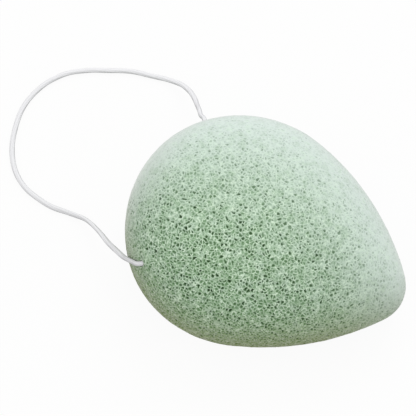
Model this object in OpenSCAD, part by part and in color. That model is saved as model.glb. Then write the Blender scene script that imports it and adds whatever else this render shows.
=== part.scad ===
// Teardrop facial sponge with a hanging cord threaded through its fat end.
// It lies on its underside, with the round end toward -X and the tip toward +X.

/* [Sponge] */
// Length from the round end to the tip
sponge_len = 80; // [68:1:110]
// Width across the fat end
sponge_w = 65; // [54:1:78]
// Height of the crown above the surface it lies on
sponge_h = 35; // [30:1:48]
// Radius of the tip, seen from above
tip_r = 9.8; // [6:0.2:16]
// Radius of the two long flanks, seen from above
flank_r = 72; // [60:1:160]

/* [Crown and underside] */
// Height of the widest line above the surface it lies on
waist_h = 10.5; // [7:0.5:14]
// How deep the underside is pressed flat where it lies
rest_flat = 0.5; // [0.3:0.1:1.5]
// Distance from the round end to the back of the crown line
crown_back = 20; // [12:1:26]
// Length of the crown line, along the sponge
crown_len = 18; // [8:1:26]
// How much lower the crown runs at the tip, as a share of its height over the waist
nose_drop_share = 0.35; // [0:0.05:0.6]

/* [Cord channel] */
// Distance of the channel's middle from the round end
channel_from_end = 12.5; // [11:0.5:18]
// Height of the channel's middle above the surface that the sponge lies on
channel_h = 20.5; // [17:0.5:23]
// Angle of the channel in plan, its far end nearer the round end, in degrees
channel_turn = 5; // [0:1:10]
// Angle of the channel down toward its far end, in degrees
channel_tilt = 8; // [0:1:10]
// Diameter of the dimple that the cord has drawn into the foam at each mouth
mouth_d = 4.4; // [3.6:0.2:6]
// How far inside the foam the free loop starts
loop_start_depth = 3.6; // [2.6:0.2:6]

/* [Cord] */
// Diameter of the cord
cord_d = 1.3; // [1:0.1:2.4]
// Running clearance round the cord in its channel
cord_clear = 0.1; // [0.05:0.01:0.1]

/* [Knot] */
// Diameter over the turns of the knot
knot_d = 3.6; // [3:0.1:5]
// Number of turns in the knot
knot_turns = 3; // [2:1:5]
// Space between the knot and the foam round it
knot_clear = 0.3; // [0.2:0.1:1]

/* [Hidden] */

$fn = 48;

// Bluntness of the section above and below the waist: 2 is an ellipse, more is squarer
crown_power = 2.3;
under_power = 2.8;

// Points along one side of the outline, and rings from the base to the crown
fat_steps = 12;
flank_steps = 7;
tip_steps = 4;
under_rings = 7;
crown_rings = 16;
// Size of the last ring, as a share of the outline
crown_flat_share = 0.035;

// Outline seen from above: a fat circle, two flank arcs and a tip circle, all tangent
back_x = -sponge_len / 2;
fat_r = sponge_w / 2;
fat_x = back_x + fat_r;
tip_x = sponge_len / 2 - tip_r;
centre_gap = tip_x - fat_x;
to_fat = flank_r - fat_r;
to_tip = flank_r - tip_r;
flank_dx = (to_fat * to_fat - to_tip * to_tip + centre_gap * centre_gap) / (2 * centre_gap);
flank_x = fat_x + flank_dx;
flank_y = -sqrt(to_fat * to_fat - flank_dx * flank_dx);
fat_angle = atan2(-flank_y, fat_x - flank_x);
tip_angle = atan2(-flank_y, tip_x - flank_x);

function arc(cx, cy, r, a0, a1, steps) =
    [for (i = [1 : steps]) let (a = a0 + (a1 - a0) * i / steps) [cx + r * cos(a), cy + r * sin(a)]];

// One side of the outline, from the round end over +Y to the tip
side_points = concat(
    [[back_x, 0]],
    arc(fat_x, 0, fat_r, 180, fat_angle, fat_steps),
    arc(flank_x, flank_y, flank_r, fat_angle, tip_angle, flank_steps),
    arc(tip_x, 0, tip_r, tip_angle, 0, tip_steps));
side_n = len(side_points) - 1;
outline = concat(
    [for (i = [0 : side_n - 1]) side_points[i]],
    [for (i = [side_n : -1 : 1]) [side_points[i][0], -side_points[i][1]]]);

// A ring is the outline drawn in toward the crown line, each point to its own place on it
crown_start = back_x + crown_back;
crown_end = crown_start + crown_len;
function crown_x(x) = crown_start + crown_len * (1 - cos(180 * (x - back_x) / sponge_len)) / 2;
function drawn_in(p, share) = [crown_x(p[0]) + (p[0] - crown_x(p[0])) * share, p[1] * share];

// Size of the section at a height, as a share of the outline
under_h = waist_h + rest_flat;
crown_h = sponge_h - waist_h;
function under_share(z) = pow(1 - pow((waist_h - z) / under_h, under_power), 1 / under_power);
function crown_share(z) = pow(1 - pow((z - waist_h) / crown_h, crown_power), 1 / crown_power);

// The crown runs lower past the end of the crown line
function nose_share(x) =
    1 - nose_drop_share * pow(max(0, x - crown_end) / (sponge_len / 2 - crown_end), 2);
function flat_ring(share, z) = [for (p = outline) [for (c = drawn_in(p, share)) c, z]];
function crown_ring(share, z) =
    [for (p = flat_ring(share, z)) [p[0], p[1], waist_h + (z - waist_h) * nose_share(p[0])]];

base_turn = asin(pow(waist_h / under_h, under_power / 2));
foam_rings = concat(
    [for (i = [0 : under_rings - 1])
        let (z = waist_h - under_h * pow(sin(base_turn * (1 - i / under_rings)), 2 / under_power))
        flat_ring(under_share(z), z)],
    [flat_ring(1, waist_h)],
    [for (i = [1 : crown_rings - 1])
        let (z = waist_h + crown_h * pow(sin(90 * i / crown_rings), 2 / crown_power))
        crown_ring(crown_share(z), z)],
    [crown_ring(crown_flat_share, sponge_h)]);

// Triangles of a tube whose rings have n points each
function tube_faces(n, rings) =
    [for (j = [0 : rings - 2], i = [0 : n - 1], side = [0, 1])
        let (a = j * n + i, b = j * n + (i + 1) % n)
        side == 0 ? [a, a + n, b] : [b, a + n, b + n]];

// Triangles across a ring that mirrors itself about the X axis
function cap_faces(n, first, down) =
    [for (i = [0 : n / 2 - 1], side = [0, 1])
        let (a = i, b = i + 1, c = (n - i) % n, d = n - i - 1,
             tri = side == 0 ? [a, b, d] : [a, d, c])
        if (tri[0] != tri[2] && tri[1] != tri[2])
            [for (k = down ? [0, 1, 2] : [2, 1, 0]) first + tri[k]]];

module foam_block() {
    n = len(outline);
    rings = len(foam_rings);
    polyhedron(
        points = [for (r = foam_rings, p = r) p],
        faces = concat(tube_faces(n, rings), cap_faces(n, 0, true), cap_faces(n, (rings - 1) * n, false)));
}

// The channel: its middle, its direction and what is drawn along it
channel_x = back_x + channel_from_end;
channel_d = cord_d + 2 * cord_clear;
channel_way = [-sin(channel_turn) * cos(channel_tilt), cos(channel_turn) * cos(channel_tilt),
    -sin(channel_tilt)];
function on_channel(t) = [channel_x, 0, channel_h] + channel_way * t;

module along_channel(side = 1) {
    translate([channel_x, 0, channel_h])
        rotate([-90 * side - channel_tilt, 0, channel_turn])
            children();
}

// Half the foam's width where the channel crosses it, which is where its mouths are
mouth_half = lookup(channel_x, [for (p = side_points) drawn_in(p, crown_share(channel_h))]);
lead_end = mouth_half - loop_start_depth;

// Turns of the knot lie a little into each other
turn_pitch_share = 0.85;
turn_pitch = cord_d * turn_pitch_share;
knot_len = (knot_turns - 1) * turn_pitch + cord_d;
knot_core_d = knot_d - cord_d;

module sponge_body() {
    color("#b4d6b8")
        difference() {
            foam_block();
            along_channel()
                cylinder(h = 2 * sponge_w, d = channel_d, center = true);
            along_channel()
                cylinder(h = knot_len + 2 * knot_clear, d = knot_d + 2 * knot_clear, center = true);
            for (side = [-1, 1])
                along_channel(side)
                    translate([0, 0, mouth_half])
                        sphere(d = mouth_d);
        }
}

// How far inside each mouth the cord starts to turn away from the channel
near_turn_depth = 1.8;
far_turn_depth = 0.9;

// The free loop's middle line, from the near mouth round over the table to the far mouth
loop_route = concat(
    [on_channel(-lead_end), on_channel(near_turn_depth - mouth_half)],
    [[-25.8, -23.2, 23.4], [-26.5, -24.4, 22.7], [-27.5, -24.9, 21.6], [-28.8, -24.6, 20.3],
     [-30.8, -23.6, 18], [-33.5, -21.9, 15], [-36.8, -19.8, 11.4], [-40.8, -17.3, 7.8],
     [-45.4, -14.6, 4.6], [-50.6, -12.3, 2], [-56, -11.6, 0.8], [-61.6, -11.5, 0.7],
     [-66.8, -10.9, 0.7], [-71.2, -9.2, 0.7], [-75.2, -6.6, 0.7], [-78.6, -2.8, 0.7],
     [-81.2, 1.8, 0.7], [-82.7, 7, 0.7], [-83, 12.4, 0.7], [-82.2, 18, 0.7],
     [-80, 23.4, 0.7], [-76.4, 28, 0.7], [-71.6, 31.6, 0.7], [-66, 34.4, 0.7],
     [-60.2, 36.8, 0.7], [-54.4, 38.4, 0.7], [-49, 39, 1], [-44.4, 38.4, 2.4],
     [-40.8, 36.4, 4.6], [-38, 33.6, 7.2], [-36, 30.8, 9.6], [-34, 28.2, 12],
     [-32.2, 26, 14.2], [-30.8, 24.8, 15.8]],
    [on_channel(mouth_half - far_turn_depth), on_channel(lead_end)]);
loop_sides = 8;

// A smooth curve through the route, with one more ring between each two of its points
function route_point(i) = loop_route[min(max(i, 0), len(loop_route) - 1)];
function on_route(i, t) =
    let (a = route_point(i - 1), b = route_point(i), c = route_point(i + 1), d = route_point(i + 2))
    (b * 2 + (c - a) * t + (a * 2 - b * 5 + c * 4 - d) * t * t + (b * 3 - a - c * 3 + d) * t * t * t) / 2;
loop_line = concat(
    [for (i = [0 : len(loop_route) - 2], t = [0, 0.5]) on_route(i, t)],
    [route_point(len(loop_route) - 1)]);

function unit(v) = v / norm(v);

module cord_tube(line, d, sides) {
    last = len(line) - 1;
    points = [for (i = [0 : last])
        let (way = unit(line[min(i + 1, last)] - line[max(i - 1, 0)]),
             across = unit(cross([0, 0, 1], way)),
             up = cross(way, across))
        for (k = [0 : sides - 1])
            let (a = 360 * k / sides)
            line[i] + (across * cos(a) + up * sin(a)) * d / 2];
    start_face = [for (k = [1 : sides - 2]) [0, k, k + 1]];
    end_face = [for (k = [1 : sides - 2]) [last * sides, last * sides + k + 1, last * sides + k]];
    polyhedron(points = points, faces = concat(tube_faces(sides, last + 1), start_face, end_face));
}

module hang_loop() {
    color("#f4f4f1")
        cord_tube(loop_line, cord_d, loop_sides);
}

module cord_lead(side) {
    along_channel(side)
        translate([0, 0, knot_len / 2])
            cylinder(h = lead_end - knot_len / 2, d = cord_d);
}

module cord_lead_near() {
    color("#efefec")
        cord_lead(-1);
}

module cord_lead_far() {
    color("#efefec")
        cord_lead(1);
}

module cord_knot() {
    color("#efefec")
        along_channel() {
            cylinder(h = knot_len, d = knot_core_d, center = true);
            for (i = [0 : knot_turns - 1])
                translate([0, 0, (i - (knot_turns - 1) / 2) * turn_pitch])
                    rotate_extrude()
                        translate([(knot_d - cord_d) / 2, 0])
                            circle(d = cord_d);
        }
}

sponge_body();
hang_loop();
cord_lead_near();
cord_lead_far();
cord_knot();
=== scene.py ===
import math

import bpy
import numpy as np
from mathutils import Matrix, Vector


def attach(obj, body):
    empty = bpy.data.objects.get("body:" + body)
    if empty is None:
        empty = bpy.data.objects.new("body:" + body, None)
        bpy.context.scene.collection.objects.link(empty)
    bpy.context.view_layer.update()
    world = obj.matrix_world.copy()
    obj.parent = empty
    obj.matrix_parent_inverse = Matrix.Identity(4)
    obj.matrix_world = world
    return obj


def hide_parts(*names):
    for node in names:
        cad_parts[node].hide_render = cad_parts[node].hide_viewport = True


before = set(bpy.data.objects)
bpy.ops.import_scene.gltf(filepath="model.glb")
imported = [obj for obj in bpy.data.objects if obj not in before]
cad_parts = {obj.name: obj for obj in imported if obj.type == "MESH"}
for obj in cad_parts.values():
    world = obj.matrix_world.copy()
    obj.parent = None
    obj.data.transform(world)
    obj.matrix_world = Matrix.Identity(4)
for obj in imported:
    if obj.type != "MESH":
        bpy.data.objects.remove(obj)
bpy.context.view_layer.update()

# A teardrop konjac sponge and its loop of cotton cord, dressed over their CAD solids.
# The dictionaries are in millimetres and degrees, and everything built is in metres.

scene = bpy.context.scene
mm = 0.001

# the camera, at the photograph's angle
cameraView = {
    "azimuth": 24.8,  # 0 looks along +Y
    "elevation": 66,
    "aim": (-21.3, 6.8, 0),  # what the middle of the picture looks at
    "distance": 500,
    "lens": 152.65,
    "sensor": 36,
    "nearest": 0.01,  # metres
    "farthest": 20,  # metres
}


def addCamera(view):
    turn = math.radians(view["azimuth"])
    rise = math.radians(view["elevation"])
    back = Vector((math.sin(turn) * math.cos(rise), -math.cos(turn) * math.cos(rise), math.sin(rise)))
    right = Vector((math.cos(turn), math.sin(turn), 0))
    axes = Matrix((right, back.cross(right), back)).transposed()
    data = bpy.data.cameras.new("photoCamera")
    data.lens = view["lens"]
    data.sensor_width = view["sensor"]
    data.clip_start = view["nearest"]
    data.clip_end = view["farthest"]
    camera = bpy.data.objects.new("photoCamera", data)
    place = (Vector(view["aim"]) + back * view["distance"]) * mm
    camera.matrix_world = Matrix.Translation(place) @ axes.to_4x4()
    scene.collection.objects.link(camera)
    scene.camera = camera


addCamera(cameraView)
print("camera: set at", cameraView["azimuth"], "and", cameraView["elevation"], "degrees")


# small helpers for meshes
def addPiece(name, points, faces):
    mesh = bpy.data.meshes.new(name)
    mesh.from_pydata(np.asarray(points).tolist(), [], faces)
    mesh.update()
    piece = bpy.data.objects.new(name, mesh)
    scene.collection.objects.link(piece)
    return piece


def shadeSmooth(piece):
    piece.data.polygons.foreach_set("use_smooth", np.ones(len(piece.data.polygons), bool))
    piece.data.update()


def bakeModifiers(piece):  # the evaluated mesh takes the place of the mesh and its modifiers
    graph = bpy.context.evaluated_depsgraph_get()
    solved = piece.evaluated_get(graph)
    done = bpy.data.meshes.new_from_object(solved, preserve_all_data_layers=True, depsgraph=graph)
    old = piece.data
    piece.modifiers.clear()
    piece.data = done
    bpy.data.meshes.remove(old)
    done.name = piece.name


def unit(vectors):
    return vectors / np.linalg.norm(vectors, axis=-1, keepdims=True)


def softened(share):  # from 0 to 1 with a soft start and end
    share = np.clip(share, 0, 1)
    return share * share * (3 - 2 * share)


# the foam's form, drawn in the same way as the CAD's but finer
sponge = {
    "length": 80,
    "width": 65,
    "height": 35,
    "tipRadius": 9.8,
    "flankRadius": 72,
    "waistHeight": 10.5,
    "restFlat": 0.5,
    "crownBack": 20,  # from the round end to the crown line
    "crownLength": 18,
    "noseDrop": 0.35,
    "crownPower": 2.3,
    "underPower": 2.8,
    "fatSteps": 84,  # points along each arc of the outline
    "flankSteps": 72,
    "tipSteps": 24,
    "underRings": 40,
    "crownRings": 90,
    "lastRing": 0.01,  # the size of the top ring, as a share of the outline
    "voxel": 0.2,  # the mesh's step before it is thinned
    "triangles": 198000,  # and about what is left then
}


def arcPoints(cx, cy, radius, start, end, steps):
    angle = start + (end - start) * np.arange(1, steps + 1) / steps
    return np.stack([cx + radius * np.cos(angle), cy + radius * np.sin(angle)], 1)


def spongeSide():  # one side of the outline from above, from the round end over +Y to the tip
    backX, fatR = -sponge["length"] / 2, sponge["width"] / 2
    fatX, tipX = backX + fatR, sponge["length"] / 2 - sponge["tipRadius"]
    gap = tipX - fatX
    toFat, toTip = sponge["flankRadius"] - fatR, sponge["flankRadius"] - sponge["tipRadius"]
    flankDx = (toFat ** 2 - toTip ** 2 + gap ** 2) / (2 * gap)
    flankX, flankY = fatX + flankDx, -math.sqrt(toFat ** 2 - flankDx ** 2)
    fatAngle = math.atan2(-flankY, fatX - flankX)
    tipAngle = math.atan2(-flankY, tipX - flankX)
    return np.vstack([
        [[backX, 0]],
        arcPoints(fatX, 0, fatR, math.pi, fatAngle, sponge["fatSteps"]),
        arcPoints(flankX, flankY, sponge["flankRadius"], fatAngle, tipAngle, sponge["flankSteps"]),
        arcPoints(tipX, 0, sponge["tipRadius"], tipAngle, 0, sponge["tipSteps"])])


def drawnIn(outline, share):  # each point moves toward its own place on the crown line
    along = (1 - np.cos(math.pi * (outline[:, 0] / sponge["length"] + 0.5))) / 2
    crownX = -sponge["length"] / 2 + sponge["crownBack"] + sponge["crownLength"] * along
    return np.stack([crownX + (outline[:, 0] - crownX) * share, outline[:, 1] * share], 1)


# the channel that the cord runs through
channel = {
    "fromEnd": 12.5,  # its middle, from the round end
    "height": 20.5,
    "turn": 5,
    "tilt": 8,
    "nearStartDepth": 4.8,  # how far inside each mouth the free loop starts
    "nearTurnDepth": 3.6,  # and how far inside it the cord starts to turn
    "farStartDepth": 3.6,
    "farTurnDepth": 0.9,
}
channelTurn = math.radians(channel["turn"])
channelTilt = math.radians(channel["tilt"])
channelWay = np.array([
    -math.sin(channelTurn) * math.cos(channelTilt),
    math.cos(channelTurn) * math.cos(channelTilt),
    -math.sin(channelTilt),
])
channelMiddle = np.array([channel["fromEnd"] - sponge["length"] / 2, 0, channel["height"]])
channelRise = (channel["height"] - sponge["waistHeight"]) / (sponge["height"] - sponge["waistHeight"])
channelShare = (1 - channelRise ** sponge["crownPower"]) ** (1 / sponge["crownPower"])
# from the channel's middle to each mouth
mouthHalf = np.interp(channelMiddle[0], *drawnIn(spongeSide(), channelShare).T)
leadEnds = {-1: mouthHalf - channel["nearStartDepth"], 1: mouthHalf - channel["farStartDepth"]}


def onChannel(along):
    return tuple(channelMiddle + channelWay * along)


# the cord: soft cotton strands laid side by side in a slow twist
cord = {
    "diameter": 1.3,
    "flatWide": 1.52,  # the free loop is pressed a little flat
    "flatThick": 1.2,
    "flatFrom": 11,  # how far from both its ends it is still round
    "flatOver": 10,  # and over how much more it becomes flat
    "turnsOver": (20, 60),  # where along it the flat side turns over
    "strands": 5,
    "strandDepth": 0.06,  # of the radius: the grooves between the strands
    "layLength": 36,  # one full turn of a strand
    "curveSteps": 40,  # points of the curve between each two of the route
    "ringGap": 0.3,  # between the rings of its tube
    "sides": 40,
    "fibreRun": 0.15,  # how fast the fibres' noise runs on, to each millimetre of cord
    "route": [  # it turns in the foam at the near mouth, before it shows
        (-25.32, -21.62, 22.82), (-25.53, -22.93, 22.14), (-26.43, -23.81, 21.37),
        (-27.96, -24.14, 20.24), (-29.27, -23.64, 18.77), (-31.54, -22.61, 16.12),
        (-33.81, -21.36, 13.3), (-36.8, -19.8, 11.4), (-40.8, -17.3, 7.8),
        (-45.3, -14.2, 4.6), (-50.6, -11.7, 2), (-56, -11.4, 0.8), (-61.6, -11.7, 0.7),
        (-66.8, -10.9, 0.7), (-71.3, -9.4, 0.7), (-75.3, -6.7, 0.7), (-78.6, -2.8, 0.7),
        (-81, 1.9, 0.7), (-82.5, 7, 0.7), (-83.3, 12.4, 0.7), (-82.6, 18.2, 0.7),
        (-80.4, 23.7, 0.7), (-76.7, 28.4, 0.7), (-71.7, 31.8, 0.7), (-66, 34.4, 0.7),
        (-60.2, 36.8, 0.7), (-54.6, 37.9, 0.7), (-49.2, 38.7, 1), (-44.6, 38.3, 2.4),
        (-41, 36.4, 4.6), (-38, 33.6, 7.2), (-35.9, 30.9, 9.6), (-33.96, 28.28, 12.57),
        (-32.41, 26.07, 14.28), (-30.85, 24.8, 15.94),
    ],
}


def smoothLine(route, gap):  # the same curve as in the CAD, with its points a gap apart
    points = np.array([route[0], *route, route[-1]], float)
    steps = np.linspace(0, 1, cord["curveSteps"], endpoint=False)[:, None]
    line = []
    for a, b, c, d in zip(points, points[1:], points[2:], points[3:]):
        line.append((2 * b + (c - a) * steps + (2 * a - 5 * b + 4 * c - d) * steps ** 2
                     + (3 * b - a - 3 * c + d) * steps ** 3) / 2)
    line = np.vstack([*line, points[-1:]])
    run = np.concatenate([[0], np.cumsum(np.linalg.norm(np.diff(line, axis=0), axis=1))])
    at = np.linspace(0, run[-1], max(2, round(run[-1] / gap) + 1))
    return np.stack([np.interp(at, run, line[:, k]) for k in range(3)], 1), at


def carriedAxes(line):  # axes across the line that don't turn about it
    ways = unit(np.gradient(line, axis=0))
    start = np.cross(ways[0], (0, 0, 1))
    across = [start / np.linalg.norm(start)]
    for way in ways[1:]:
        flat = across[-1] - way * (across[-1] @ way)
        across.append(flat / np.linalg.norm(flat))
    across = np.array(across)
    return across, np.cross(ways, across)


def tubeFaces(rings, sides):  # the walls ring by ring, and then the two ends
    faces = []
    for ring in range(0, (rings - 1) * sides, sides):
        for k in range(sides):
            after = (k + 1) % sides
            faces.append((ring + k, ring + after, ring + sides + after, ring + sides + k))
    faces.append(tuple(reversed(range(sides))))
    faces.append(tuple((rings - 1) * sides + k for k in range(sides)))
    return faces


def flatness(along):  # 0 where the loop is round, 1 where it is pressed flat
    return softened((np.minimum(along, along[-1] - along) - cord["flatFrom"]) / cord["flatOver"])


def strandTube(line, along, diameter, sides, flat=0):
    across, up = carriedAxes(line)
    angle = np.linspace(0, 2 * math.pi, sides, endpoint=False)
    level = np.cross(np.gradient(line, axis=0), (0, 0, 1))
    start, end = cord["turnsOver"]
    over = math.pi * softened((along - start) / (end - start))
    wideWay = np.arctan2((level * up).sum(1), (level * across).sum(1)) + over
    wide = (diameter + (cord["flatWide"] - diameter) * flat) / 2 * np.ones(len(line))
    thick = (diameter + (cord["flatThick"] - diameter) * flat) / 2 * np.ones(len(line))
    own = angle - wideWay[:, None]
    turned = angle - 2 * math.pi * along[:, None] / cord["layLength"]
    crest = np.abs(np.cos(turned * cord["strands"] / 2))
    grooved = 1 - cord["strandDepth"] * (1 - crest)
    radius = grooved / np.hypot(np.cos(own) / wide[:, None], np.sin(own) / thick[:, None])
    points = (line[:, None] + across[:, None] * (radius * np.cos(angle))[..., None]
              + up[:, None] * (radius * np.sin(angle))[..., None]).reshape(-1, 3)
    run = np.repeat(along[:, None], sides, 1) * cord["fibreRun"]
    fibre = np.stack([np.cos(turned), np.sin(turned), run], -1).reshape(-1, 3)
    return points, tubeFaces(len(line), sides), fibre, crest.ravel()


def addCord(name, tubes):  # one piece from one or more tubes
    points, faces, fibre, crest = [], [], [], []
    for tube in tubes:
        somePoints, someFaces, someFibre, someCrest = strandTube(*tube)
        first = sum(len(p) for p in points)
        points.append(somePoints)
        faces += [tuple(first + i for i in face) for face in someFaces]
        fibre.append(someFibre)
        crest.append(someCrest)
    piece = addPiece(name, np.vstack(points) * mm, faces)
    place = piece.data.attributes.new("fibrePlace", "FLOAT_VECTOR", "POINT")
    place.data.foreach_set("vector", np.vstack(fibre).astype(np.float32).ravel())
    strand = piece.data.attributes.new("strandCrest", "FLOAT", "POINT")
    strand.data.foreach_set("value", np.concatenate(crest).astype(np.float32))
    shadeSmooth(piece)
    return piece


loopLine, loopRun = smoothLine(
    [onChannel(-leadEnds[-1]), onChannel(channel["nearTurnDepth"] - mouthHalf), *cord["route"],
     onChannel(mouthHalf - channel["farTurnDepth"]), onChannel(leadEnds[1])], cord["ringGap"])
hangLoop = addCord("hangLoop", [(loopLine, loopRun, cord["diameter"], cord["sides"], flatness(loopRun))])
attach(hangLoop, "cord")
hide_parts("hang_loop")
tuple(np.array(onChannel(-mouthHalf)) * mm)
loopRun[-1] * mm
cord["diameter"] * mm
print("cord: loop of", round(loopRun[-1], 1), "mm")

# the held stretches of the cord and its knot, inside the foam
knot = {
    "diameter": 3.6,
    "turns": 3,
    "pitchShare": 0.85,
    "coilCord": 1.1,  # the turns are pressed flatter than the free cord
    "coilSteps": 90,
    "sides": 20,
}
knotLength = (knot["turns"] - 1) * cord["diameter"] * knot["pitchShare"] + cord["diameter"]
sideWay = unit(np.cross(channelWay, (0, 0, 1)))
upWay = np.cross(sideWay, channelWay)


def knotTubes():
    turns = np.linspace(0, knot["turns"] * 2 * math.pi, knot["coilSteps"])
    out = (knot["diameter"] - knot["coilCord"]) / 2
    reach = (knotLength - knot["coilCord"]) / 2
    coil = (channelMiddle + np.cos(turns)[:, None] * sideWay * out
            + np.sin(turns)[:, None] * upWay * out
            + np.linspace(-reach, reach, len(turns))[:, None] * channelWay)
    coilLine, coilRun = smoothLine(coil, cord["ringGap"])
    core = [onChannel(-knotLength / 2), onChannel(knotLength / 2)]
    coreLine, coreRun = smoothLine(core, cord["ringGap"])
    return [(coilLine, coilRun, knot["coilCord"], knot["sides"]),
            (coreLine, coreRun, cord["diameter"], knot["sides"])]


def leadTube(side):
    ends = [onChannel(side * knotLength / 2), onChannel(side * leadEnds[side])]
    line, run = smoothLine(ends, cord["ringGap"])
    return [(line, run, cord["diameter"], cord["sides"])]


heldPieces = []
for name, node, tubes in (("cordLeadNear", "cord_lead_near", leadTube(-1)),
                          ("cordLeadFar", "cord_lead_far", leadTube(1)),
                          ("cordKnot", "cord_knot", knotTubes())):
    held = addCord(name, tubes)
    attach(held, "cord")
    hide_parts(node)
    heldPieces.append(held)
print("cord: leads and knot in the channel")


# node trees, written as sums
class Wire:  # one socket of a node tree, as a value
    def __init__(self, bench, socket):
        self.bench = bench
        self.socket = socket

    def sum(self, operation, *values):
        return self.bench.node("ShaderNodeMath", {"operation": operation}, dict(enumerate(values)))[0]

    def __add__(self, other):
        return self.sum("ADD", self, other)

    def __radd__(self, other):
        return self.sum("ADD", other, self)

    def __sub__(self, other):
        return self.sum("SUBTRACT", self, other)

    def __rsub__(self, other):
        return self.sum("SUBTRACT", other, self)

    def __mul__(self, other):
        return self.sum("MULTIPLY", self, other)

    def __rmul__(self, other):
        return self.sum("MULTIPLY", other, self)

    def __pow__(self, other):
        return self.sum("POWER", self, other)

    def __rpow__(self, other):
        return self.sum("POWER", other, self)


class Made:  # a node, whose outputs come out as wires
    def __init__(self, bench, node):
        self.bench = bench
        self.node = node

    def __getitem__(self, name):
        return Wire(self.bench, self.node.outputs[name])


class Bench:
    def __init__(self, tree):
        self.tree = tree
        tree.nodes.clear()

    def node(self, kind, settings=None, sockets=None):  # settings first, then the sockets
        node = self.tree.nodes.new(kind)
        for key, value in (settings or {}).items():
            setattr(node, key, value)
        for key, value in (sockets or {}).items():
            socket = node.inputs[key]
            if isinstance(value, Wire):
                self.tree.links.new(value.socket, socket)
            else:
                socket.default_value = value
        return Made(self, node)

    def step(self, value, low, high):  # 0 below low, 1 above high, soft between
        return self.node("ShaderNodeMapRange", {"interpolation_type": "SMOOTHSTEP"},
                         {"Value": value, "From Min": low, "From Max": high})["Result"]

    def scaled(self, vector, scale):
        return self.node("ShaderNodeVectorMath", {"operation": "SCALE"},
                         {0: vector, "Scale": scale})["Vector"]

    def joined(self, operation, a, b):
        return self.node("ShaderNodeVectorMath", {"operation": operation}, {0: a, 1: b})["Vector"]

    def size(self, vector):
        return self.node("ShaderNodeVectorMath", {"operation": "LENGTH"}, {0: vector})["Value"]

    def mixed(self, factor, a, b):  # a Mix node has its colours in sockets 6 and 7, and gives one in 2
        return self.node("ShaderNodeMix", {"data_type": "RGBA", "clamp_factor": True},
                         {0: factor, 6: a, 7: b})[2]

    def carried(self, name):  # what a mesh keeps at its points
        return self.node("ShaderNodeAttribute", {"attribute_type": "GEOMETRY", "attribute_name": name})

    def noise(self, vector, scale, detail=2.0, rough=0.5):
        return self.node("ShaderNodeTexNoise", {"noise_dimensions": "3D"},
                         {"Vector": vector, "Scale": scale, "Detail": detail, "Roughness": rough})

    def cells(self, vector, scale, feature):
        return self.node("ShaderNodeTexVoronoi", {"voronoi_dimensions": "3D", "feature": feature},
                         {"Vector": vector, "Scale": scale, "Randomness": 1})


def ink(red, green, blue):  # a colour as it shows on screen, 0 to 255
    return tuple((c / 12.92 if c <= 0.04045 else ((c + 0.055) / 1.055) ** 2.4)
                 for c in (red / 255, green / 255, blue / 255)) + (1,)


# the foam's pores, the same sums for its mesh and for its material
pores = {
    "cellSize": 0.9,
    "wobble": 0.36,  # how far noise pulls the cells about
    "wobbleSize": 1.1,
    "wallWidth": 0.08,  # half a cell wall, before it slopes down
    "wallSlope": 0.25,
    "shallowDepth": 0.26,
    "deepDepth": 0.65,
    "fineSize": 0.46,
    "fineWall": 0.03,
    "fineSlope": 0.12,
    "fineDepth": 0.1,
    "waveSize": 3.2,
    "waveDepth": 0.1,
    "waveLevel": 0.6,  # where the waves' noise leaves the surface as it is
    "skinOpen": 0.93,  # how much of a pore is left where the skin is open
    "skinShare": 0.1,  # and what share of that where the skin is closed
    "skinAcross": 0.0124,  # the skin is open on the near side and closes toward the far one, the lamp's side
    "skinSkew": 0.0009,  # a little toward the tip
    "skinAlong": 0.00017,  # and toward both ends
    "roundEnd": (24, 44),  # it closes further on the way to the round end
    "roundEndShare": 0.19,
    "skinStart": -0.32,
    "skinEnd": 0.43,
    "skinBelow": 0.42,  # how much of the closing is left near the table
    "belowHeights": (4, 17),  # and between which heights it comes back
}
noiseMiddle = (0.5, 0.5, 0.5)


def cellLayer(bench, place, size, wall, slope):  # the pits, a number for each, and the walls' crests
    edge = bench.cells(place, 1 / size, "DISTANCE_TO_EDGE")["Distance"] * size
    cell = bench.cells(place, 1 / size, "F1")["Color"]
    pick = bench.node("ShaderNodeSeparateXYZ", None, {0: cell})["X"]
    return bench.step(edge, wall, wall + slope), pick, 1 - bench.step(edge, 0, wall * 2)


def foamPattern(bench, place):  # place is in millimetres, and free is how open the skin is there
    pull = bench.joined("SUBTRACT", bench.noise(place, 1 / pores["wobbleSize"])["Color"], noiseMiddle)
    pulled = bench.joined("ADD", place, bench.scaled(pull, pores["wobble"] * 2))
    pit, pick, crest = cellLayer(bench, pulled, pores["cellSize"], pores["wallWidth"], pores["wallSlope"])
    fine, finePick, fineCrest = cellLayer(
        bench, pulled, pores["fineSize"], pores["fineWall"], pores["fineSlope"])
    spot = bench.node("ShaderNodeSeparateXYZ", None, {0: place})
    away = (spot["Y"] * pores["skinAcross"]
            + spot["X"] * (spot["X"] * pores["skinAlong"] + pores["skinSkew"])
            + bench.step(spot["X"] * -1, *pores["roundEnd"]) * pores["roundEndShare"])
    closed = bench.step(away, pores["skinStart"], pores["skinEnd"]) * (1 - pores["skinShare"])
    raised = bench.step(spot["Z"], *pores["belowHeights"])
    closed = closed * (raised * (1 - pores["skinBelow"]) + pores["skinBelow"])
    free = (1 - closed) * pores["skinOpen"]
    deep = pit * pick ** 2
    fine = fine * finePick
    wave = (bench.noise(place, 1 / pores["waveSize"])["Fac"] - pores["waveLevel"]) * pores["waveDepth"] * 2
    hollow = deep * -pores["deepDepth"] - pit * pores["shallowDepth"] - fine * pores["fineDepth"]
    return {"pit": pit, "pick": pick, "crest": crest, "fine": fine, "fineCrest": fineCrest,
            "free": free, "height": hollow * free + wave}


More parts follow.
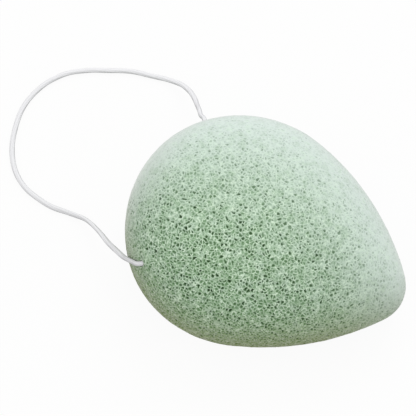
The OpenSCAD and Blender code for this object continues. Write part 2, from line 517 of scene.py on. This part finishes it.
# the foam block, with the ways that the cord has worn into it
mouths = {
    "boreRadius": 0.76,
    "knotPocket": 2.1,
    "pocketReach": 2.05,
    "cordSlot": 0.76,  # radius of the way that the cord has pressed into the foam as it turns
    "slotReach": 11,  # how much of the loop's ends is cut from the foam
    "swell": 0.25,  # the foam stands proud by this much where it closes over the near turn
    "swellAt": (-25.4, -23.4, 23.2),
    "swellWay": (0, -0.75, 0.65),
    "swellSize": 3,
    "pocketEdge": 0.01,  # how far each end wall of the knot's pocket leans
    "barSides": 32,
    "smoothWall": (1, 2.6),  # how far from the channel's line the pores start and are whole
}


def swollen(points):
    off = np.linalg.norm(points - np.array(mouths["swellAt"]), axis=1)
    rise = softened(1 - off / mouths["swellSize"]) * mouths["swell"]
    return points + np.outer(rise, unit(np.array(mouths["swellWay"])))


def addFoamForm():
    side = spongeSide()
    outline = np.vstack([side[:-1], side[:0:-1] * (1, -1)])
    waist, halfLength = sponge["waistHeight"], sponge["length"] / 2
    crownEnd = -halfLength + sponge["crownBack"] + sponge["crownLength"]
    underHeight, crownHeight = waist + sponge["restFlat"], sponge["height"] - waist

    def underRing(turn):
        flat = drawnIn(outline, math.cos(turn) ** (2 / sponge["underPower"]))
        z = waist - underHeight * math.sin(turn) ** (2 / sponge["underPower"])
        return np.column_stack([flat, np.full(len(flat), z)])

    def crownRing(turn):
        flat = drawnIn(outline, max(sponge["lastRing"], math.cos(turn) ** (2 / sponge["crownPower"])))
        drop = sponge["noseDrop"] * (np.maximum(0, flat[:, 0] - crownEnd) / (halfLength - crownEnd)) ** 2
        z = waist + crownHeight * math.sin(turn) ** (2 / sponge["crownPower"]) * (1 - drop)
        return np.column_stack([flat, z])

    baseTurn = math.asin((waist / underHeight) ** (sponge["underPower"] / 2))
    rings = [underRing(turn) for turn in np.linspace(baseTurn, 0, sponge["underRings"], endpoint=False)]
    rings += [crownRing(turn) for turn in np.linspace(0, math.pi / 2, sponge["crownRings"] + 1)]
    around = len(outline)
    last = (len(rings) - 1) * around
    faces = tubeFaces(len(rings), around)[:-2]
    for k in range(around // 2):
        cap = tuple(dict.fromkeys([k, (around - k) % around, around - k - 1, k + 1]))
        faces.append(cap)
        faces.append(tuple(last + i for i in reversed(cap)))
    return addPiece("spongeFoam", swollen(np.vstack(rings)) * mm, faces)


def addCutter(line, radii):  # a round bar along a line, to be taken out of the foam
    across, up = carriedAxes(line)
    sides = mouths["barSides"]
    angle = np.linspace(0, 2 * math.pi, sides, endpoint=False)
    spokes = across[:, None] * np.cos(angle)[:, None] + up[:, None] * np.sin(angle)[:, None]
    points = (line[:, None] + spokes * np.asarray(radii, float)[:, None, None]).reshape(-1, 3)
    return addPiece("cutter", points * mm, tubeFaces(len(line), sides))


def channelCutters():
    pocket, bore, reach = mouths["knotPocket"], mouths["boreRadius"], mouths["pocketReach"]
    wide = reach + mouths["pocketEdge"]
    straight = [(-leadEnds[-1], bore), (-wide, bore), (-reach, pocket),
                (reach, pocket), (wide, bore), (leadEnds[1], bore)]
    line = np.array([onChannel(at) for at, radius in straight])
    yield addCutter(line, [radius for at, radius in straight])
    steps = round(mouths["slotReach"] / cord["ringGap"])
    for end in (loopLine[:steps], loopLine[-steps:]):
        yield addCutter(end, [mouths["cordSlot"]] * len(end))


def addPores(piece):  # presses the pores into the mesh and keeps each point's first place
    tree = bpy.data.node_groups.new("poreRelief", "GeometryNodeTree")
    tree.interface.new_socket("Geometry", in_out="INPUT", socket_type="NodeSocketGeometry")
    tree.interface.new_socket("Geometry", in_out="OUTPUT", socket_type="NodeSocketGeometry")
    bench = Bench(tree)
    source = bench.node("NodeGroupInput")["Geometry"]
    place = bench.scaled(bench.node("GeometryNodeInputPosition")["Position"], 1 / mm)
    kept = bench.node("GeometryNodeStoreNamedAttribute", {"data_type": "FLOAT_VECTOR", "domain": "POINT"},
                      {"Geometry": source, "Name": "foamPlace", "Value": place})["Geometry"]
    pattern = foamPattern(bench, place)
    off = bench.joined("SUBTRACT", place, tuple(channelMiddle))
    fromLine = bench.size(bench.joined("CROSS_PRODUCT", off, tuple(channelWay)))
    clear = bench.step(fromLine, *mouths["smoothWall"])
    push = bench.scaled(bench.node("GeometryNodeInputNormal")["Normal"], pattern["height"] * clear * mm)
    moved = bench.node("GeometryNodeSetPosition", None, {"Geometry": kept, "Offset": push})["Geometry"]
    bench.node("NodeGroupOutput", None, {"Geometry": moved})
    piece.modifiers.new("poreRelief", "NODES").node_group = tree


# three charts that don't overlap: above the waist, below it, and the channel's wall
bakeMap = {
    "upperSpread": 13.6,  # how much wider than its plan a chart grows at the waist
    "lowerSpread": 8.4,
    "fallMost": 1.1,  # it grows no more this far down, where 1 is the waist
    "leastLength": 1e-6,  # so that nothing is divided by 0
    "upperBox": (0.005, 0.385, 0.995, 0.995),
    "lowerBox": (0.005, 0.005, 0.995, 0.365),
    "boreBox": (0.8, 0.005, 0.99, 0.04),
    "boreWall": 1,  # what is nearer than this to the channel's line is its wall
    "pocketRoom": 0.2,  # and in the pocket, what is less than this past its radius
    "pocketHalf": 2.5,  # half the pocket's length, with some room
}


def fitted(flat, chosen, box):  # scales what is chosen to fill its box
    low, high = flat[chosen].min(0), flat[chosen].max(0)
    start, end = np.array(box[:2]), np.array(box[2:])
    return start + (flat[chosen] - low) / (high - low) * (end - start)


def addBakeMap(piece):
    mesh = piece.data
    corner = np.empty(len(mesh.loops), np.int32)
    mesh.loops.foreach_get("vertex_index", corner)
    first = np.empty(len(mesh.polygons), np.int32)
    mesh.polygons.foreach_get("loop_start", first)
    place = np.empty(len(mesh.vertices) * 3, np.float32)
    mesh.attributes["foamPlace"].data.foreach_get("vector", place)
    place = place.reshape(-1, 3)[corner]
    count = np.diff(np.append(first, len(corner)))
    middle = np.repeat(np.add.reduceat(place, first) / count[:, None], count, axis=0)

    waist, crownStart = sponge["waistHeight"], sponge["crownBack"] - sponge["length"] / 2
    inward = np.clip(place[:, 0], crownStart, crownStart + sponge["crownLength"])
    out = place[:, :2] - np.stack([inward, np.zeros(len(place))], 1)
    out /= np.maximum(np.linalg.norm(out, axis=1, keepdims=True), bakeMap["leastLength"])
    fall = np.clip((sponge["height"] - place[:, 2:]) / (sponge["height"] - waist), 0, bakeMap["fallMost"])
    upper = place[:, :2] + out * fall ** 2 * bakeMap["upperSpread"]
    lower = place[:, :2] + out * place[:, 2:] / waist * bakeMap["lowerSpread"]

    off, offMiddle = place - channelMiddle, middle - channelMiddle
    angle = np.arctan2(off @ upWay, off @ sideWay)
    angleMiddle = np.arctan2(offMiddle @ upWay, offMiddle @ sideWay)
    angle = angleMiddle + (angle - angleMiddle + math.pi) % (2 * math.pi) - math.pi
    bore = np.stack([off @ channelWay, angle], 1)

    away = np.linalg.norm(np.cross(offMiddle, channelWay), axis=1)
    along = np.abs(offMiddle @ channelWay)
    inStraight = (away < bakeMap["boreWall"]) & (along < leadEnds[1])
    inPocket = (away < mouths["knotPocket"] + bakeMap["pocketRoom"]) & (along < bakeMap["pocketHalf"])
    inBore = inStraight | inPocket
    isUpper = (middle[:, 2] >= waist) & ~inBore
    isLower = (middle[:, 2] < waist) & ~inBore
    spots = np.empty((len(corner), 2), np.float32)
    charts = ((upper, isUpper, "upperBox"), (lower, isLower, "lowerBox"), (bore, inBore, "boreBox"))
    for flat, chosen, box in charts:
        spots[chosen] = fitted(flat, chosen, bakeMap[box])
    mesh.uv_layers.new(name="OFBake").data.foreach_set("uv", spots.ravel())


spongeFoam = addFoamForm()
for cutter in channelCutters():
    cut = spongeFoam.modifiers.new("cut", "BOOLEAN")
    cut.operation = "DIFFERENCE"
    cut.object = cutter
    cut.solver = "EXACT"
    bakeModifiers(spongeFoam)
    bpy.data.objects.remove(cutter)
print("foam: form with its channel,", len(spongeFoam.data.polygons), "faces")
remesh = spongeFoam.modifiers.new("even", "REMESH")
remesh.mode = "VOXEL"
remesh.voxel_size = sponge["voxel"] * mm
bakeModifiers(spongeFoam)
print("foam: evenly meshed,", len(spongeFoam.data.polygons), "faces")
addPores(spongeFoam)
bakeModifiers(spongeFoam)
thin = spongeFoam.modifiers.new("thin", "DECIMATE")
thin.ratio = sponge["triangles"] / (2 * len(spongeFoam.data.polygons))
bakeModifiers(spongeFoam)
shadeSmooth(spongeFoam)
addBakeMap(spongeFoam)
print("foam: pores pressed in,", len(spongeFoam.data.polygons), "faces")
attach(spongeFoam, "sponge")
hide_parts("sponge_body")


# materials
def newMaterial(name):
    material = bpy.data.materials.new(name)
    material.use_nodes = True
    return material, Bench(material.node_tree)


def wear(material, *pieces):
    for piece in pieces:
        piece.data.materials.clear()
        piece.data.materials.append(material)


foamLook = {
    "crest": ink(223, 244, 219),  # a painted highlight along the thin walls between pores
    "wall": ink(132, 174, 124),
    "shade": ink(118, 158, 111),
    "skin": ink(218, 228, 227),  # where the pores are closed; its pale colour is painted light on the lamp's side
    # painted shade in the pores, over their real dents, and darker still in the deep ones
    "pit": ink(78, 119, 68),
    "deepPit": ink(38, 74, 28),
    # painted shade, tinted olive, low on the near side away from the lamp, a little on every side and at
    # the round end
    "olive": ink(127, 136, 50),
    "moss": ink(118, 160, 110),  # where the foam looks greener
    "pale": ink(199, 221, 202),  # and where it looks milky
    "grainSize": 0.3,
    "grainRough": 0.65,
    "grainSteps": (0.35, 0.65),  # the noise goes from shade to wall between these
    "driftSize": 12,  # broad areas of slightly more shade
    "driftSteps": (0.3, 0.7),
    "driftShare": 0.25,
    "patchSize": 2.6,  # the greener and the milky patches
    "patchRough": 0.6,
    "mossSteps": (0.34, 0.54),
    "mossShare": 0.12,
    "mossOpen": 0.4,  # more of it where the skin is open
    "paleSteps": (0.48, 0.68),
    "paleShare": 0.5,
    "fleckSize": 0.9,
    "fleckSteps": (0.42, 0.62),
    "fleckLeast": 0.3,  # how bright the painted highlight on a crest is between the flecks
    "fineCrest": 0.25,  # and how bright the painted highlight on the small cells' walls is
    "oliveHeights": (1, 28),  # the painted olive shade fades out between these heights
    "oliveNear": (-5, 22),  # and grows toward the near side, away from the lamp
    "oliveNearShare": 0.76,
    "oliveShare": 0.16,  # how much of it every side has
    "oliveEnd": 0.14,  # and how much more at the round end
    "finePitShare": 0.5,
    "pitShare": 0.44,
    "pitPick": 0.7,  # how much more painted shade some pits get than others
    "deepShare": 0.9,
    "deepPower": 3,  # the higher, the fewer pits get the deepest painted shade
    "noiseDetail": 3,
    "bumpStrength": 0.9,
    "bumpDepth": 0.0001,  # metres
    "roughness": 0.62,
    "pitRoughness": 0.15,
    "sheen": 0.7,
    "sheenRoughness": 0.4,
    "specular": 0.3,
}


def foamMaterial(look):
    material, bench = newMaterial("konjacFoam")
    place = bench.carried("foamPlace")["Vector"]
    pattern = foamPattern(bench, place)
    free = pattern["free"]
    grain = bench.noise(place, 1 / look["grainSize"], look["noiseDetail"], look["grainRough"])["Fac"]
    drift = bench.noise(place, 1 / look["driftSize"])["Fac"]
    patch = bench.noise(place, 1 / look["patchSize"], look["noiseDetail"], look["patchRough"])["Fac"]
    fleck = bench.step(bench.noise(place, 1 / look["fleckSize"])["Fac"], *look["fleckSteps"])
    spot = bench.node("ShaderNodeSeparateXYZ", None, {0: place})

    colour = bench.mixed(bench.step(grain, *look["grainSteps"]), look["shade"], look["wall"])
    drifted = bench.step(drift, *look["driftSteps"]) * look["driftShare"]
    colour = bench.mixed(drifted, colour, look["shade"])
    # painted light: toward the far side, which the lamp lights, the foam takes the pale skin colour and its
    # pores lose their painted shade and highlights
    colour = bench.mixed(free, look["skin"], colour)
    mossy = (1 - bench.step(patch, *look["mossSteps"])) * (free * look["mossOpen"] + look["mossShare"])
    colour = bench.mixed(mossy, colour, look["moss"])
    colour = bench.mixed(bench.step(patch, *look["paleSteps"]) * look["paleShare"], colour, look["pale"])
    # painted highlight along the crests of the pore walls, with brighter glints at the flecks
    crestHighlight = pattern["crest"] * (fleck * (1 - look["fleckLeast"]) + look["fleckLeast"])
    crestHighlight = (crestHighlight + pattern["fineCrest"] * look["fineCrest"]) * free
    colour = bench.mixed(crestHighlight, colour, look["crest"])

    # painted shade: olive on the low near side, where the lamp's light falls least, some on every side and
    # more at the round end
    near = bench.step(spot["Y"] * -1, *look["oliveNear"]) * look["oliveNearShare"] + look["oliveShare"]
    roundEnd = bench.step(spot["X"] * -1, *pores["roundEnd"]) * look["oliveEnd"]
    olive = (1 - bench.step(spot["Z"], *look["oliveHeights"])) * near + roundEnd
    colour = bench.mixed(olive, colour, look["olive"])
    # painted shade: the pores' hollows darkened in colour, the small cells' too, and the deep pits most
    colour = bench.mixed(pattern["fine"] * free * look["finePitShare"], colour, look["pit"])
    pitShade = pattern["pit"] * (pattern["pick"] * look["pitPick"] + look["pitShare"]) * free
    colour = bench.mixed(pitShade, colour, look["pit"])
    deep = pattern["pit"] * pattern["pick"] ** look["deepPower"] * free * look["deepShare"]
    colour = bench.mixed(deep, colour, look["deepPit"])

    relief = (grain - pattern["fine"]) * free
    bump = bench.node("ShaderNodeBump", None, {
        "Strength": look["bumpStrength"], "Distance": look["bumpDepth"], "Height": relief})["Normal"]
    shader = bench.node("ShaderNodeBsdfPrincipled", None, {
        "Base Color": colour, "Roughness": pattern["pit"] * look["pitRoughness"] + look["roughness"],
        "Normal": bump, "Sheen Weight": look["sheen"], "Sheen Roughness": look["sheenRoughness"],
        "Specular IOR Level": look["specular"]})["BSDF"]
    bench.node("ShaderNodeOutputMaterial", None, {"Surface": shader})
    return material


cordLook = {
    "cotton": ink(234, 234, 236),
    # painted shade in the grooves between the strands, also used for the fibres' random grey
    "groove": ink(216, 216, 219),
    "flank": ink(194, 194, 197),  # painted shade on the sides of the cord that face away from the light
    "cleanWay": (0, -0.35, 0.94),  # the side that the light reaches
    "flankSteps": (0, 0.8),  # from the painted shade on the flanks to the full white
    "crestSteps": (0, 0.5),  # from a groove's painted shade to a strand's crest
    "fibreScale": 7,
    "fibreDetail": 3,
    "fibreRough": 0.6,
    "fibreSteps": (0.5, 0.8),
    "fibreShare": 0.35,
    "bumpStrength": 0.6,
    "bumpDepth": 0.00004,  # metres
    "roughness": 0.85,
    "sheen": 0.1,
    "sheenRoughness": 0.4,
    "specular": 0.2,
}


def cordMaterial(look):
    material, bench = newMaterial("cottonCord")
    place = bench.carried("fibrePlace")["Vector"]
    crest = bench.carried("strandCrest")["Fac"]
    fibre = bench.noise(place, look["fibreScale"], look["fibreDetail"], look["fibreRough"])["Fac"]
    # painted shade: the sides of the cord that face away from the light turn grey
    facing = bench.node("ShaderNodeVectorMath", {"operation": "DOT_PRODUCT"},
                        {0: bench.node("ShaderNodeNewGeometry")["Normal"], 1: look["cleanWay"]})["Value"]
    # painted shade in the grooves between the strands, then a random grey of fibres
    colour = bench.mixed(bench.step(crest, *look["crestSteps"]), look["groove"], look["cotton"])
    downy = bench.step(fibre, *look["fibreSteps"]) * look["fibreShare"]
    colour = bench.mixed(downy, colour, look["groove"])
    colour = bench.mixed(bench.step(facing, *look["flankSteps"]), look["flank"], colour)
    bump = bench.node("ShaderNodeBump", None, {
        "Strength": look["bumpStrength"], "Distance": look["bumpDepth"], "Height": fibre})["Normal"]
    shader = bench.node("ShaderNodeBsdfPrincipled", None, {
        "Base Color": colour, "Roughness": look["roughness"], "Normal": bump, "Sheen Weight": look["sheen"],
        "Sheen Roughness": look["sheenRoughness"], "Specular IOR Level": look["specular"]})["BSDF"]
    bench.node("ShaderNodeOutputMaterial", None, {"Surface": shader})
    return material


foam, cotton = foamMaterial(foamLook), cordMaterial(cordLook)
wear(foam, spongeFoam)
wear(cotton, hangLoop, *heldPieces)
for name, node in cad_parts.items():
    wear(foam if name == "sponge_body" else cotton, node)
print("materials: foam and cotton")

# the floor and the light
studio = {
    "floorSide": 4,  # metres
    "floorWhite": (0.5, 0.5, 0.49),
    "floorGlow": 1.04,
    "shadowShare": 0.1,  # how much of the object's shadow the white floor shows
    "roomLight": 0.86,
    "keyWay": (-0.1, 0.68, 0.7),  # from the object to the lamp
    "keyDistance": 1.1,  # metres
    "keySide": 0.7,  # metres
    "keyPower": 4.2,  # watts
    "floorDrop": 0.00002,  # metres, so that it stays just under the sponge
}
white = (1, 1, 1, 1)


def pathShare(bench):  # 1 for what the camera, a reflection or a clear surface sees
    path = bench.node("ShaderNodeLightPath")
    seen = path["Is Camera Ray"] + path["Is Glossy Ray"] + path["Is Transmission Ray"]
    return bench.node("ShaderNodeClamp", None, {"Value": seen})["Result"]


def addFloor():
    half = studio["floorSide"] / 2
    corners = [(-half, -half, 0), (half, -half, 0), (half, half, 0), (-half, half, 0)]
    floor = addPiece("floor", corners, [(0, 1, 2, 3)])
    material, bench = newMaterial("whiteFloor")
    matte = bench.node("ShaderNodeBsdfDiffuse", None, {"Color": studio["floorWhite"] + (1,)})["BSDF"]
    glow = bench.node("ShaderNodeEmission", None,
                      {"Color": white, "Strength": studio["floorGlow"]})["Emission"]
    share = pathShare(bench) * (1 - studio["shadowShare"])
    both = bench.node("ShaderNodeMixShader", None, {0: share, 1: matte, 2: glow})["Shader"]
    bench.node("ShaderNodeOutputMaterial", None, {"Surface": both})
    wear(material, floor)
    floor.location.z = -studio["floorDrop"]


def addRoomLight():
    world = bpy.data.worlds.new("room")
    scene.world = world
    world.use_nodes = True
    bench = Bench(world.node_tree)
    strength = pathShare(bench) * (1 - studio["roomLight"]) + studio["roomLight"]
    glow = bench.node("ShaderNodeBackground", None, {"Color": white, "Strength": strength})["Background"]
    bench.node("ShaderNodeOutputWorld", None, {"Surface": glow})


def addKeyLight():
    data = bpy.data.lights.new("keyLight", "AREA")
    data.size = studio["keySide"]
    data.energy = studio["keyPower"]
    lamp = bpy.data.objects.new("keyLight", data)
    way = Vector(studio["keyWay"]).normalized()
    lamp.location = way * studio["keyDistance"]
    lamp.rotation_mode = "QUATERNION"
    lamp.rotation_quaternion = way.to_track_quat("Z", "Y")
    scene.collection.objects.link(lamp)


addFloor()
addRoomLight()
addKeyLight()
scene.view_settings.view_transform = "Standard"
print("studio: floor and lights")
